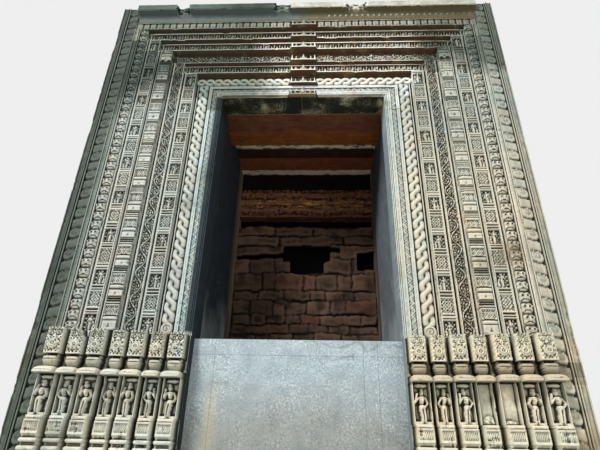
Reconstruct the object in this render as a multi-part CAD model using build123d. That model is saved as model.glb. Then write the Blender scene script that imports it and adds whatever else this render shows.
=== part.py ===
from build123d import *
import random
from math import cos, pi, sin

# A carved stone temple doorway: seven nested post-and-lintel frames and a leaf border, each frame standing a
# little forward of the one inside it, on a row of niche pedestals. A slab closes its foot and rough masonry
# its back. Millimetres: X runs to the right, Y into the wall, Z up. The origin is on the ground at the
# middle of the inner frame's face.

# The opening and the depth of the frames
opening_half = 1480
soffit_height = 6330
jamb_depth = 500
ear_drop = 300

# Width of each frame, from the opening outward
inner_border_width = 280
serpent_rope_width = 247
inner_panel_width = 268
vine_scroll_width = 249
pilaster_width = 274
outer_panel_width = 263
dwarf_width = 283
leaf_border_width = 315

# How far each frame's front stands before the innermost one
serpent_rope_advance = 10
inner_panel_advance = 70
vine_scroll_advance = 70
pilaster_advance = 150
outer_panel_advance = 170
dwarf_advance = 215
leaf_border_advance = 230

# Carving: how deep the fields are cut, and the reeds and groove between two fields
relief = 45
bond = 5
reed_width = 15
groove_width = 22
groove_depth = 75
arris_reed_width = 18
arris_groove_width = 9
arris_groove_depth = 12
scroll_strip_width = 96
scroll_strip_depth = 14
dwarf_field_width = 166
leaf_field_width = 178
margin_depth = 16

# Spacing of what repeats along the strips
rope_pitch = 185
panel_pitch = 365
vine_wave = 500
module_pitch = 548
dwarf_pitch = 158
leaf_pitch = 200
figure_pitch = 170
drop_pitch = 575

# The vine's stem, and how far it stays from the edges of its field
stem_half = 17
stem_margin = 8

# Height of the carved row at the foot of each lintel course; the rest of the course is sunk behind it
row_height = 130

# Slots between the panels of a band
slot_width = 20

# The serpent's hood at the foot of the rope
hood_radius = 88
hood_height = 55

# Projecting shrines at the middle of each lintel course
shrine_half = 240
shrine_projection = 75
shrine_sill = 26
shrine_post = 34

# Pedestals: projection from the strip behind, and the height and share of that projection of each course
pedestal_projection = 200
pedestal_inset = 20
pedestal_root = 40
plinth_height = 450
base_height = 396
niche_height = 497
niche_depth = 150
niche_jamb = 26
eave_height = 89
eave_overhang = 110
cushion_height = 128
neck_height = 77
foliage_height = 299
figure_height = 385
medallion_radius = 84
medallion_height = 22
medallion_rise = 101
broken_corner = 95

# The cornice over the frames, and where it is broken away: left end, right end and how far back
cornice_height = 315
cavetto_height = 166
cornice_overhang = 70
drop_half = 45
drop_length = 38
drop_thickness = 24
cornice_breaks = [(-2546, -2310, 130), (-577, -279, 70), (834, 1210, 85)]
break_depth = 40

# What closes the foot of the opening
threshold_height = 300
threshold_front = 100
closing_slab_height = 1640
closing_slab_thickness = 180
closing_slab_setback = 200

# The passage behind the frames
passage_length = 1900
reveal_thickness = 300
bearing_notch_depth = 138
bearing_notch_height = 250
bearing_notch_start = 100
ceiling_beam_depth = 370
first_beam_width = 400
second_beam_width = 460
front_slip_width = 140
third_beam_width = 325
fourth_beam_width = 468
rear_slip_width = 334

# The rear wall: piers, rusted beam, and the rough masonry between them
pier_depth = 600
rear_beam_depth = 300
rear_beam_height = 703
rear_beam_setback = 200
over_beam_height = 410
under_beam_gap = 231
leaf_thickness = 250
hidden_courses = 7
seen_courses = 5
broken_courses = 2
cap_height = 450
void_left = -463
void_right = 541
block_length = 740
rough_step = 28

# Worked out from the sizes above
border = 2 * reed_width + groove_width
base_of_niche = plinth_height + base_height
pedestal_height = (base_of_niche + niche_height + eave_height + cushion_height + neck_height
                   + foliage_height)
passage_back = jamb_depth + passage_length
wall_back = passage_back + pier_depth
beam_seat_height = soffit_height - over_beam_height - rear_beam_height
full_courses = hidden_courses + seen_courses
leaf_top = beam_seat_height - under_beam_gap - cap_height
course_height = leaf_top / (full_courses + broken_courses)


def prism(points, vector):
    """A straight prism: a closed outline of points in space, drawn along a vector."""
    outline = Wire.make_polygon([Vector(*point) for point in points], close=True)
    return Solid.extrude(Face(outline), Vector(*vector))


def block(x, y, z):
    """A squared block between three (low, high) pairs."""
    corner = (Align.MIN, Align.MIN, Align.MIN)
    return Pos(x[0], y[0], z[0]) * Box(x[1] - x[0], y[1] - y[0], z[1] - z[0], align=corner)


def repeats(length, pitch):
    """How many whole repeats fit a length at about the given pitch, and the exact pitch."""
    count = max(1, round(length / pitch))
    return count, length / count


def run_across(outline, width, slant=0):
    """A carved run: its side outline, (height, distance along) pairs, drawn across the field."""
    points = [(0, bond, outline[0][1])]
    points += [(0, -height, along) for height, along in outline]
    points.append((0, bond, outline[-1][1]))
    return prism(points, (width, 0, slant))


# Carvings. Each fills a field between two distances along its strip. The field's floor is the plane Y = 0,
# its inner edge is X = 0, and the carving stands up to `relief` before the floor.


def lobes(width, start, end, pitch, slant, shape):
    """Swelling lobes side by side, each drawn across the field at a slant."""
    count, step = repeats(end - start, pitch)
    extra = 0 if slant == 0 else 1 + int(abs(slant) / step)
    outline = []
    for index in range(-extra, count + extra):
        outline += [(share * relief, start + (index + place) * step) for share, place in shape]
    outline.append((shape[0][0] * relief, start + (count + extra) * step))
    run = run_across(outline, width, slant)
    if slant == 0:
        return [run]
    return [run & block((0, width), (-relief, bond), (start, end))]


def rope(width, start, end):
    """Two serpent bodies wound round each other: full slanting lobes with narrow dark gaps."""
    return lobes(width, start, end, rope_pitch, width * 1.1, [(0.1, 0), (0.95, 0.25), (0.8, 0.85)])


def leaves(width, start, end):
    """Broad curled leaves, one over the other."""
    return lobes(width, start, end, leaf_pitch, -width * 0.3, [(0.15, 0), (0.95, 0.4)])


def dwarfs(width, start, end):
    """A stack of crouching dwarfs, as full cushions with deep undercuts."""
    return lobes(width, start, end, dwarf_pitch, 0, [(0.1, 0), (0.95, 0.3)])


def frieze(width, start, end):
    """Small figures side by side, each in its own compartment."""
    return lobes(width, start, end, figure_pitch, 0, [(0.1, 0), (0.95, 0.5)])


def leaf_course(width, start, end):
    """A row of hanging leaves along a lintel."""
    return lobes(width, start, end, leaf_pitch, width * 0.3, [(0.15, 0), (0.95, 0.45)])


def slot_pair(at):
    """Outline points of two narrow slots with a sharp fillet between them, ending at a distance."""
    low = at - 2 * slot_width
    middle = slot_width / 2
    return [(0.75, low), (0.05, low + middle), (0.75, low + slot_width), (0.05, at - middle), (0.75, at)]


def panels(width, start, end):
    """Panels parted by double slots: a sunk one with figures, then a flat one for fine lattice carving."""
    count, step = repeats(end - start, panel_pitch)
    outline = [(0.75, start)]
    carved = []
    for index in range(count):
        low = start + index * step
        high = low + step - 2 * slot_width
        margin = slot_width
        if index % 2 == 0:
            outline += [(0.1, low + margin), (0.1, high - margin)]
            carved.append(figure(width * 0.42, high - low - 2 * margin, relief * 0.95, width / 2,
                                 low + margin))
        outline += slot_pair(low + step)
    outline = [(share * relief, along) for share, along in outline]
    return [run_across(outline, width)] + carved


def figure(half_width, height, depth, across, foot):
    """A standing figure in outline: legs, hips, raised arms and head."""
    half = [(0.4, 0), (0.95, 0.62), (0.3, 1.0)]
    right = [(across + x * half_width, bond, foot + z * height) for x, z in half]
    left = [(across - x * half_width, bond, foot + z * height) for x, z in reversed(half)]
    return prism(right + left, (0, -depth - bond, 0))


def vine(width, start, end):
    """A winding stem, with a leaf that fills the hollow of each bend."""
    count, wave = repeats(end - start, vine_wave)
    sway = width / 2 - stem_half - stem_margin
    near = [(width / 2 - stem_half, start)]
    far = [(width / 2 + stem_half, start)]
    for index in range(2 * count):
        along = start + (index / 2 + 0.25) * wave
        side = -1 if index % 2 else 1
        root = width / 2 + side * (0.48 * sway - stem_half)
        tip = width / 2 - side * sway
        leaf = [(root, along - 0.13 * wave), (tip, along), (root, along + 0.13 * wave)]
        bend = [(width / 2 + side * (sway + stem_half), along)]
        near += leaf if side > 0 else bend
        far += bend if side > 0 else leaf
    near.append((width / 2 - stem_half, end))
    far.append((width / 2 + stem_half, end))
    outline = [(x, bond, z) for x, z in near + far[::-1]]
    return [prism(outline, (0, -relief * 0.85 - bond, 0))]


def pilaster(width, start, end):
    """Pilaster blocks: a smooth block, a cushion, a carved panel, then double slots, over and over."""
    count, step = repeats(end - start, module_pitch)
    block_top = 0.35 * step
    cushion_top = 0.53 * step
    outline = [(0.85, start)]
    for index in range(count):
        low = start + index * step
        outline += [(0.85, low + block_top), (0.1, low + block_top + slot_width / 2)]
        outline += [(1.0, low + block_top + 1.5 * slot_width), (0.1, low + cushion_top)]
        outline.append((0.75, low + cushion_top + slot_width / 2))
        outline += slot_pair(low + step)
    outline.append((0.85, end))
    outline = [(share * relief, along) for share, along in outline]
    return [run_across(outline, width)]


def ear_pad(width, start, end):
    """The plain raised ground on a lintel's ear, which the fine carving is cut into."""
    if width < arris_reed_width + bond:
        return []
    outline = [(0.1 * relief, start), (0.75 * relief, start + slot_width), (0.75 * relief, end)]
    return [run_across(outline, width)]


def no_carving(width, start, end):
    """A field that is left to its own mouldings."""
    return []


class Frame:
    """One of the nested frames: where it starts, its front, its section, and the carving of its field."""

    def __init__(self, name, start, width, advance, levels, upright, course):
        self.name = name
        self.start = start
        self.end = start + width
        self.width = width
        self.front = -advance
        self.levels = levels
        self.upright = upright
        self.course = course
        self.low = soffit_height + start - opening_half
        self.top = self.low + width

    def strip(self, levels, start, end, carve_start, carve_end, carve):
        """A length of the frame with X outward from its inner edge and Z along it."""
        points = [(0, jamb_depth, start)]
        across = 0
        for width, depth in levels:
            points.append((across, self.front + depth, start))
            across += width
            points.append((across, self.front + depth, start))
        points.append((across, jamb_depth, start))
        body = prism(points, (0, 0, end - start))
        field_width, floor = levels[0]
        carved = [Pos(0, self.front + floor, 0) * part for part in carve(field_width, carve_start, carve_end)]
        return body, carved


def reeded(width):
    """Levels of a strip across its width: the carved field, then reed, groove and reed."""
    return [(width - border, relief), (reed_width, 0), (groove_width, groove_depth), (reed_width, 0)]


def coursed(width):
    """Levels of a lintel course from its foot up: the carved row, then a plain sunk face and a groove."""
    plain_height = width - row_height - groove_width - reed_width
    return [(row_height, relief), (plain_height, relief), (groove_width, groove_depth), (reed_width, relief)]


scroll_side = (inner_border_width - scroll_strip_width) / 2
inner_border_levels = [
    (arris_reed_width, 0), (arris_groove_width, arris_groove_depth),
    (arris_reed_width, 0), (arris_groove_width, arris_groove_depth),
    (scroll_side + border / 2 - 2 * (arris_reed_width + arris_groove_width), 0),
    (scroll_strip_width, scroll_strip_depth),
    (scroll_side - border / 2 - groove_width, 0),
    (groove_width, groove_depth),
]
dwarf_levels = [
    (dwarf_field_width, relief), (reed_width, 0), (groove_width, groove_depth / 2),
    (dwarf_width - dwarf_field_width - 2 * reed_width - groove_width, margin_depth), (reed_width, 0),
]
leaf_border_levels = [
    (leaf_field_width, relief), (reed_width, 0), (groove_width, groove_depth / 2), (reed_width, 0),
    (leaf_border_width - leaf_field_width - 3 * reed_width - groove_width, margin_depth), (reed_width, 0),
]

frame_list = [
    ("inner_border", inner_border_width, 0, inner_border_levels, no_carving, no_carving),
    ("serpent_rope", serpent_rope_width, serpent_rope_advance, reeded(serpent_rope_width), rope, rope),
    ("inner_panel_band", inner_panel_width, inner_panel_advance, reeded(inner_panel_width), panels, frieze),
    ("vine_scroll_band", vine_scroll_width, vine_scroll_advance, reeded(vine_scroll_width), vine, vine),
    ("pilaster_band", pilaster_width, pilaster_advance, reeded(pilaster_width), pilaster, frieze),
    ("outer_panel_band", outer_panel_width, outer_panel_advance, reeded(outer_panel_width), panels, frieze),
    ("dwarf_band", dwarf_width, dwarf_advance, dwarf_levels, dwarfs, leaf_course),
    ("leaf_border", leaf_border_width, leaf_border_advance, leaf_border_levels, leaves, no_carving),
]
frames = []
place = opening_half
for frame_name, frame_width, advance, levels, upright, course in frame_list:
    frames.append(Frame(frame_name, place, frame_width, advance, levels, upright, course))
    place += frame_width
nested = frames[:-1]
leaf_border = frames[-1]


def write(name, shape):
    """Writes one piece to its own file."""
    export_step(shape, f"parts/{name}.step")


def write_pair(name, right, left=None):
    """Writes a right-hand piece and its mirror image on the left, or a left-hand one that differs."""
    write(f"right_{name}", right)
    write(f"left_{name}", mirror(right if left is None else left, about=Plane.YZ))


# Jamb strips: the seven inner ones stand on the pedestals and carry the ears of their lintels
def jamb_strip(frame, foot, head):
    body, carved = frame.strip(frame.levels, foot, head, foot, head, frame.upright)
    if frame.upright is rope:
        field_width, floor = frame.levels[0]
        turns = [k * pi / 4 for k in range(8)]
        ring = [(field_width / 2 + hood_radius * cos(turn), bond, foot + hood_radius * (1 + sin(turn)))
                for turn in turns]
        carved.append(Pos(0, frame.front + floor, 0) * prism(ring, (0, -hood_height - bond, 0)))
    return Pos(frame.start, 0, 0) * body.fuse(*carved)


for frame in nested:
    write_pair(frame.name, jamb_strip(frame, pedestal_height, frame.low - ear_drop))
write_pair(leaf_border.name, jamb_strip(leaf_border, 0, leaf_border.low + cornice_height))


# Lintel courses: a mitred length over the opening, its two ears, and a small shrine at the middle
def shrine(frame):
    low = frame.low
    high = low + frame.width - border
    front = frame.front
    back = front + relief + bond
    parts = [block((-shrine_half, shrine_half), (front - shrine_projection, back), (low, low + shrine_sill))]
    for side in (-1, 1):
        middle = side * (shrine_half - shrine_post)
        post_x = (middle - shrine_post / 2, middle + shrine_post / 2)
        post_y = (front - shrine_projection * 0.7, back)
        parts.append(block(post_x, post_y, (low + shrine_sill, high - shrine_sill / 2)))
    seat = low + shrine_sill
    height = high - seat - shrine_sill
    half = [(0.95, 0), (0.8, 0.4), (0.3, 1.0)]
    outline = [(x * shrine_half * 0.36, back, seat + z * height) for x, z in half]
    outline += [(-x * shrine_half * 0.36, back, seat + z * height) for x, z in reversed(half)]
    parts.append(prism(outline, (0, front - shrine_projection * 0.6 - back, 0)))
    return parts


def lintel_course(frame):
    field = frame.levels[0][0]
    levels = frame.levels if frame.course is no_carving else coursed(frame.width)
    to_course = Pos(0, 0, frame.low) * Rot(0, -90, 0)
    body, carved = frame.strip(levels, -frame.end, frame.end, -frame.start, frame.start, frame.course)
    trapezoid = prism([(-frame.start, 0, frame.low), (frame.start, 0, frame.low),
                       (frame.end, 0, frame.top), (-frame.end, 0, frame.top)], (0, jamb_depth, 0))
    trapezoid = trapezoid.fuse(Pos(0, -jamb_depth, 0) * trapezoid)
    beam = (to_course * body) & trapezoid
    pieces = [to_course * part for part in carved] + shrine(frame)
    ear_low = frame.low - ear_drop
    body, carved = frame.strip(frame.levels, ear_low, frame.top, ear_low, frame.low + field, ear_pad)
    wedge = prism([(0, -jamb_depth, ear_low), (frame.width, -jamb_depth, ear_low),
                   (frame.width, -jamb_depth, frame.top), (0, -jamb_depth, frame.low)],
                  (0, 2 * jamb_depth, 0))
    ear = (body & wedge).fuse(*carved) if carved else body & wedge
    right = Pos(frame.start, 0, 0) * ear
    left = mirror(right, about=Plane.YZ)
    return beam.fuse(right, left, *pieces)


for frame in nested:
    write(f"lintel_{frame.name}", lintel_course(frame))


# Cornice: a hollow moulding under a fascia with small hanging drops, broken away in three places
def cornice():
    low = leaf_border.low
    mouth = low + cavetto_height
    top = low + cornice_height
    foot = leaf_border.front + cornice_overhang
    lip = leaf_border.front - cornice_overhang
    half = leaf_border.start
    depth = foot - lip
    points = [(-half, jamb_depth, low), (-half, foot, low)]
    for step in range(1, 4):
        turn = step * pi / 6
        points.append((-half, foot - depth * (1 - cos(turn)), low + cavetto_height * sin(turn)))
    points += [(-half, lip, mouth), (-half, lip, top), (-half, jamb_depth, top)]
    body = prism(points, (2 * half, 0, 0))
    count, step = repeats(2 * half, drop_pitch)
    for index in range(count):
        middle = -half + (index + 0.5) * step
        drop = [(middle - drop_half, lip, mouth), (middle + drop_half, lip, mouth),
                (middle, lip, mouth - drop_length)]
        body = body.fuse(prism(drop, (0, drop_thickness, 0)))
    for left, right, bite in cornice_breaks:
        third = (right - left) / 3
        outline = [(left, lip - 1, top + 1), (left + third / 2, lip + bite, top + 1),
                   (right - third, lip + bite * 0.8, top + 1), (right, lip - 1, top + 1)]
        body = body.cut(prism(outline, (0, 0, mouth - top - break_depth)))
    return body


write("cornice", cornice())


# Pedestals: mouldings, a niche with its figure, an eave, a cushion and a block of foliage
def pedestal_side(frame):
    """Side outline of a pedestal's mouldings, from the ground up, as (Y, Z) points."""
    def out(share):
        return frame.front - share * pedestal_projection
    points = []
    base_courses = [(0.14, 1.0), (0.1, 0.7), (0.12, 0.95), (0.09, 0.7), (0.55, 0.9)]
    points += [(out(1.0), 0), (out(1.0), plinth_height * 0.7), (out(0.85), plinth_height)]
    height = plinth_height
    for share, reach in base_courses:
        points.append((out(reach), height))
        height += share * base_height
        points.append((out(reach), height))
    height = base_of_niche + niche_height
    eave = out(1.0) - eave_overhang
    points += [(out(0.9), base_of_niche), (out(0.9), height)]
    points += [(eave, height), (eave, height + eave_height * 0.45), (out(0.8), height + eave_height)]
    height += eave_height
    points.append((out(1.0), height + cushion_height * 0.5))
    height += cushion_height
    points += [(out(0.6), height), (out(0.6), height + neck_height / 2)]
    points += [(out(0.95), height + neck_height / 2), (out(0.95), pedestal_height)]
    points.append((frame.front + pedestal_root, pedestal_height))
    points.append((frame.front + pedestal_root, 0))
    return points


def statue(frame, width):
    """A standing figure with an arm akimbo and a tall cap, on a small lotus base."""
    floor = frame.front - 0.9 * pedestal_projection + niche_depth
    across = frame.width / 2
    half = [(0.75, 0), (0.7, 0.08), (0.34, 0.1), (0.5, 0.42), (0.34, 0.52), (0.7, 0.7), (0.24, 0.78),
            (0.12, 1.0)]
    right = [(across + x * width / 2, floor, base_of_niche + z * figure_height) for x, z in half]
    left = [(across - x * width / 2, floor, base_of_niche + z * figure_height) for x, z in reversed(half)]
    return prism(right + left, (0, -niche_depth * 0.72, 0))


def medallion(frame):
    """The six-sided ground of a round boss of foliage."""
    face = frame.front - 0.95 * pedestal_projection
    across = frame.width / 2
    middle = pedestal_height - foliage_height + medallion_rise
    turns = [k * pi / 3 for k in range(6)]
    ring = [(across + medallion_radius * cos(turn), face + bond, middle + medallion_radius * sin(turn))
            for turn in turns]
    return prism(ring, (0, -medallion_height - bond, 0))


def pedestal(frame, occupied, broken):
    """One pedestal, with X outward from its frame's inner edge."""
    backing = block((0, frame.width), (frame.front + pedestal_root, jamb_depth), (0, pedestal_height))
    side = [(pedestal_inset, y, z) for y, z in pedestal_side(frame)]
    mouldings = prism(side, (frame.width - 2 * pedestal_inset, 0, 0))
    inset = pedestal_inset + niche_jamb
    front = frame.front - 0.9 * pedestal_projection
    high = base_of_niche + niche_height
    spring = high - niche_jamb * 2
    niche = prism([(inset, front - 1, base_of_niche), (frame.width - inset, front - 1, base_of_niche),
                   (frame.width - inset, front - 1, spring), (frame.width / 2, front - 1, high - niche_jamb),
                   (inset, front - 1, spring)], (0, niche_depth + 1, 0))
    body = backing.fuse(mouldings).cut(niche)
    body = body.fuse(medallion(frame))
    if occupied:
        body = body.fuse(statue(frame, frame.width - 2 * inset))
    if broken:
        edge = frame.front - pedestal_projection - 1
        above = pedestal_height + 1
        outline = [(0, edge, above), (broken_corner + pedestal_inset, edge, above),
                   (0, edge, pedestal_height - 1.6 * broken_corner)]
        corner = prism(outline, (0, pedestal_projection * 0.7, 0))
        body = body.cut(corner)
    return Pos(frame.start, 0, 0) * body


empty_on_the_right = (4, 5)
broken_on_the_left = 6
for number, frame in enumerate(nested, start=1):
    whole = pedestal(frame, True, False)
    right = whole if number not in empty_on_the_right else pedestal(frame, False, False)
    left = whole if number != broken_on_the_left else pedestal(frame, True, True)
    write_pair(f"pedestal_{number}", right, left)


# Threshold and the slab that closes the foot of the opening
whole_span = (-opening_half, opening_half)
write("threshold", block(whole_span, (-threshold_front, jamb_depth), (0, threshold_height)))
slab_z = (threshold_height, threshold_height + closing_slab_height)
slab_y = (closing_slab_setback, closing_slab_setback + closing_slab_thickness)
write("closing_slab", block(whole_span, slab_y, slab_z))


# Reveals: upright slabs that line the passage, notched at the head where the first beams bear
reveal_x = (opening_half, opening_half + reveal_thickness)
reveal = block(reveal_x, (jamb_depth, passage_back), (0, soffit_height))
notch_y = jamb_depth + bearing_notch_start
reveal = reveal.cut(block((opening_half, opening_half + bearing_notch_depth),
                          (notch_y, notch_y + first_beam_width + second_beam_width),
                          (soffit_height - bearing_notch_height, soffit_height)))
write_pair("reveal", reveal)


# Ceiling of the passage: rusted beams side by side, with pale stone slips between them
beam_half = opening_half + reveal_thickness
ceiling = [
    ("ceiling_beam_1", first_beam_width), ("ceiling_beam_2", second_beam_width),
    ("ceiling_slip_front", front_slip_width), ("ceiling_beam_3", third_beam_width),
    ("ceiling_beam_4", fourth_beam_width), ("ceiling_slip_rear", rear_slip_width),
]
ceiling_z = (soffit_height, soffit_height + ceiling_beam_depth)
beam_front = jamb_depth
beam_back = jamb_depth + bearing_notch_start
for name, width in ceiling:
    beam_back += width
    write(name, block((-beam_half, beam_half), (beam_front, beam_back), ceiling_z))
    beam_front = beam_back
write("ceiling_beam_5", block((-beam_half, beam_half), (beam_front, wall_back), ceiling_z))


# Rear piers, with pockets that hold the ends of the rusted beam
rear_front = passage_back + rear_beam_setback
rear_beam_y = (rear_front, rear_front + rear_beam_depth)
rear_beam_z = (beam_seat_height, beam_seat_height + rear_beam_height)
pier = block((opening_half, beam_half), (passage_back, wall_back), (0, soffit_height))
write_pair("rear_pier", pier.cut(block((opening_half, beam_half), rear_beam_y, rear_beam_z)))
write("rear_beam", block((-beam_half, beam_half), rear_beam_y, rear_beam_z))


# Rough masonry: a front leaf of squared blocks with a hole in it, and a plain leaf behind
def masonry_course(low, high, spans, seed):
    """One course of blocks over one or more (left, right) spans, each block's face a little in or out."""
    chance = random.Random(seed)
    blocks = []
    for left, right in spans:
        count, length = repeats(right - left, block_length)
        shifts = [chance.uniform(-0.25, 0.25) for k in range(count - 1)]
        joints = [left] + [left + (k + shift) * length for k, shift in enumerate(shifts, start=1)] + [right]
        for start, end in zip(joints, joints[1:]):
            face = rear_front + rough_step * chance.random()
            blocks.append(block((start, end), (face, rear_front + leaf_thickness), (low, high)))
    return blocks


broken_span = [(-opening_half, void_left), (void_right, opening_half)]
leaf = []
for number in range(hidden_courses):
    leaf.append(block(whole_span, (rear_front, rear_front + leaf_thickness),
                      (number * course_height, (number + 1) * course_height)))
for number in range(hidden_courses, full_courses + broken_courses):
    spans = [whole_span] if number < full_courses else broken_span
    leaf += masonry_course(number * course_height, (number + 1) * course_height, spans, number)
cap_joints = (-opening_half, void_left, void_right, opening_half)
cap_z = (leaf_top, leaf_top + cap_height)
for left, right in zip(cap_joints, cap_joints[1:]):
    leaf.append(block((left, right), (rear_front, rear_front + leaf_thickness), cap_z))
write("blocking_masonry_front", Compound(leaf))

rear_leaf = []
rear_y = (rear_front + leaf_thickness, wall_back)
rear_courses, rear_height = repeats(beam_seat_height, 2 * cap_height)
for number in range(rear_courses):
    rear_leaf.append(block(whole_span, rear_y, (number * rear_height, (number + 1) * rear_height)))
write("blocking_masonry_rear", Compound(rear_leaf))

over_joints = (-opening_half, -opening_half / 3, opening_half / 3, opening_half)
over_beam = [block((left, right), (rear_front, wall_back), (rear_beam_z[1], soffit_height))
             for left, right in zip(over_joints, over_joints[1:])]
over_beam.append(block(whole_span, (rear_beam_y[1], wall_back), rear_beam_z))
write("blocking_over_beam", Compound(over_beam))
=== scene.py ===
import bpy
import numpy as np
from mathutils import Matrix, Vector


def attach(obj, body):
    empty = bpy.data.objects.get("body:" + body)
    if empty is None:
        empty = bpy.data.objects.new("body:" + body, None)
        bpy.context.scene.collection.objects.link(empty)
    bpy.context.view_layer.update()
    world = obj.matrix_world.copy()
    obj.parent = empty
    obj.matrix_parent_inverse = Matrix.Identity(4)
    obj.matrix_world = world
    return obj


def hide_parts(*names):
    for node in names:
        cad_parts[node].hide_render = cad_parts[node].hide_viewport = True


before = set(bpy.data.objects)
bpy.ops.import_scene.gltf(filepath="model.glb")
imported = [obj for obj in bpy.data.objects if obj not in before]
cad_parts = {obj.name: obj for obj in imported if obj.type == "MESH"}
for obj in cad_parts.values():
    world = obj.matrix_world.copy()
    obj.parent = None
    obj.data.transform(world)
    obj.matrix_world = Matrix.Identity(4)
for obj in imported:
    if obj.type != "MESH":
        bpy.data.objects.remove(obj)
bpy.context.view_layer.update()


# Camera: where the photograph was taken from, low down and close in front of the doorway, looking up at it
# with a wide lens. The rows of its turn are its own right, up and backward directions.
scene = bpy.context.scene
scene.view_settings.view_transform = "Standard"
camera = bpy.data.objects.new("camera", bpy.data.cameras.new("camera"))
scene.collection.objects.link(camera)
scene.camera = camera
camera.data.sensor_width = 36
camera.data.lens = 27.2
camera_place = (0.315, -6.3, 0.45)
turn = Matrix(((0.99906, 0.03723, 0.02212), (-0.00268, -0.45657, 0.88968), (0.04322, -0.88891, -0.45604)))
camera.matrix_world = Matrix.Translation(camera_place) @ turn.transposed().to_4x4()


# Weathered stone and iron: every face of the doorway is pale where it is worn and on its ridges, as a painted
# highlight, and dark with grime and painted shade in its cuts, with broad stains and a fine grain. Maths on
# shader sockets is written with operators, and one method makes every other node. Places in a finish are in
# metres.
class Socket:
    def __init__(self, tree, out):
        self.tree = tree
        self.out = out

    def join(self, kind, *others):
        node = self.tree.nodes.new("ShaderNodeMath")
        node.operation = kind
        for slot, value in zip(node.inputs, (self,) + others):
            feed(self.tree, slot, value)
        return Socket(self.tree, node.outputs[0])

    def __add__(self, other):
        return self.join("ADD", other)

    def __radd__(self, other):
        return self.join("ADD", other)

    def __mul__(self, other):
        return self.join("MULTIPLY", other)

    def __rmul__(self, other):
        return self.join("MULTIPLY", other)

    def __sub__(self, other):
        return self.join("SUBTRACT", other)

    def __rsub__(self, other):
        return self.join("MULTIPLY_ADD", -1.0, other)

    def __abs__(self):
        return self.join("ABSOLUTE")

    def clamp(self):
        return self.join("MAXIMUM", 0.0).join("MINIMUM", 1.0)


def feed(tree, slot, value):
    if isinstance(value, Socket):
        tree.links.new(slot, value.out)
    elif slot.type == "RGBA":
        slot.default_value = (*value, 1)
    else:
        slot.default_value = value


def past(value, edge, sharpness):
    """From 0 to 1 as a value rises past an edge, or falls past it where the sharpness is negative."""
    return ((value - edge) * sharpness).clamp()


def near(value, middle, reach, sharpness):
    """1 within a reach of the middle, and 0 well away from it."""
    return (1 - (abs(value - middle) - reach) * sharpness).clamp()


class Nodes:
    def __init__(self, tree):
        self.tree = tree

    def node(self, kind, settings, inputs, output=0):
        node = self.tree.nodes.new(kind)
        for key, value in settings.items():
            setattr(node, key, value)
        for key, value in inputs.items():
            feed(self.tree, node.inputs[key], value)
        return Socket(self.tree, node.outputs[output])


class Finish(Nodes):
    def __init__(self, name):
        self.material = bpy.data.materials.new(name)
        self.material.use_nodes = True
        super().__init__(self.material.node_tree)
        self.surface = self.tree.nodes["Principled BSDF"]

    def set(self, key, value):
        feed(self.tree, self.surface.inputs[key], value)

    def place(self, axis):
        return self.node("ShaderNodeSeparateXYZ", {}, {"Vector": self.where}, axis)

    def marked(self, attribute):
        return self.node("ShaderNodeAttribute", {"attribute_name": attribute}, {}, "Fac")

    def stretched(self, *scale):
        return self.node("ShaderNodeMapping", {}, {"Vector": self.where, "Scale": scale})

    def noise(self, scale, detail=4.0, rough=0.6, where=None):
        return self.node("ShaderNodeTexNoise", {}, {
            "Vector": where or self.where, "Scale": scale, "Detail": detail, "Roughness": rough})

    def mix(self, share, first, second, blend="MIX"):
        settings = {"data_type": "RGBA", "blend_type": blend}
        return self.node("ShaderNodeMix", settings, {0: share, 6: first, 7: second}, 2)

    def paint(self, share, colour, blend="MIX"):
        self.colour = self.mix(share, self.colour, colour, blend)
        self.set("Base Color", self.colour)

    def tint(self, share, colour):
        self.paint(share, colour, "MULTIPLY")


def weathered_and_shaded(name, pale, middle, dark, stain, patches, rough=0.85, bump=0.5, grain=30.0):
    finish = Finish(name)
    finish.where = finish.node("ShaderNodeTexCoord", {}, {}, "Object")
    hollow = finish.marked("hollow")
    finish.broad = finish.noise(0.9)
    blotch = finish.noise(5.0, 6.0, 0.65)
    fine = finish.noise(grain, 5.0, 0.7)
    # pale where worn and on the ridges as a painted highlight, and dark with grime and painted shade in the
    # hollows
    wear_and_highlight = ((blotch - 0.5) * 2.4 + 0.45 - hollow * 2.0).clamp()
    finish.colour = finish.mix(wear_and_highlight, middle, pale)
    finish.paint((hollow * 1.5 - 0.12 + (fine - 0.5) * 0.4).clamp(), dark)
    finish.paint(((finish.broad - patches) * 6.0 + (blotch - 0.5) * 2.0).clamp() * 0.8, stain)
    speckle = finish.mix(fine, (0.2, 0.2, 0.2), (0.85, 0.85, 0.85))
    finish.paint(0.5, speckle, "OVERLAY")
    finish.set("Roughness", rough)
    height = fine * 0.4 + blotch
    finish.set("Normal", finish.node("ShaderNodeBump", {}, {
        "Strength": bump, "Distance": 0.012, "Height": height}))
    return finish


# Chlorite: the grey-green stone of all the carving, in three copies. The left one is cool and dark with painted
# shade, the right one warm and pale as in sun, and the lintels are stained brown with painted shade in their
# hollows and on their undersides.
over_pedestals = 1.96


def chlorite(side, pale, middle, dark, stain, patches):
    """One side's chlorite in cool and warm patches, with its places across and up, and a slow drift."""
    stone = weathered_and_shaded(f"chlorite_{side}", pale, middle, dark, stain, patches)
    stone.set("Specular IOR Level", 0.25)
    warm = past(stone.noise(2.3, 3.0), 0.38, 4)
    stone.tint(0.32, stone.mix(warm, (0.8, 0.98, 1.06), (1.12, 0.97, 0.82)))
    return stone, stone.place("X"), stone.place("Z"), (stone.broad - 0.5) * 1.6


# The pedestals are painted lighter and warmer overall, and painted shade darkens their bowls and eaves under
# the foliage blocks.
def tint_and_shade_pedestals(stone, up, overall, bowl_shade, eave_shade):
    stone.tint(past(up, over_pedestals, -20), overall)
    stone.tint(near(up, 1.515, 0.083, 60), bowl_shade)
    stone.tint(near(up, 1.385, 0.045, 60), eave_shade)


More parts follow.
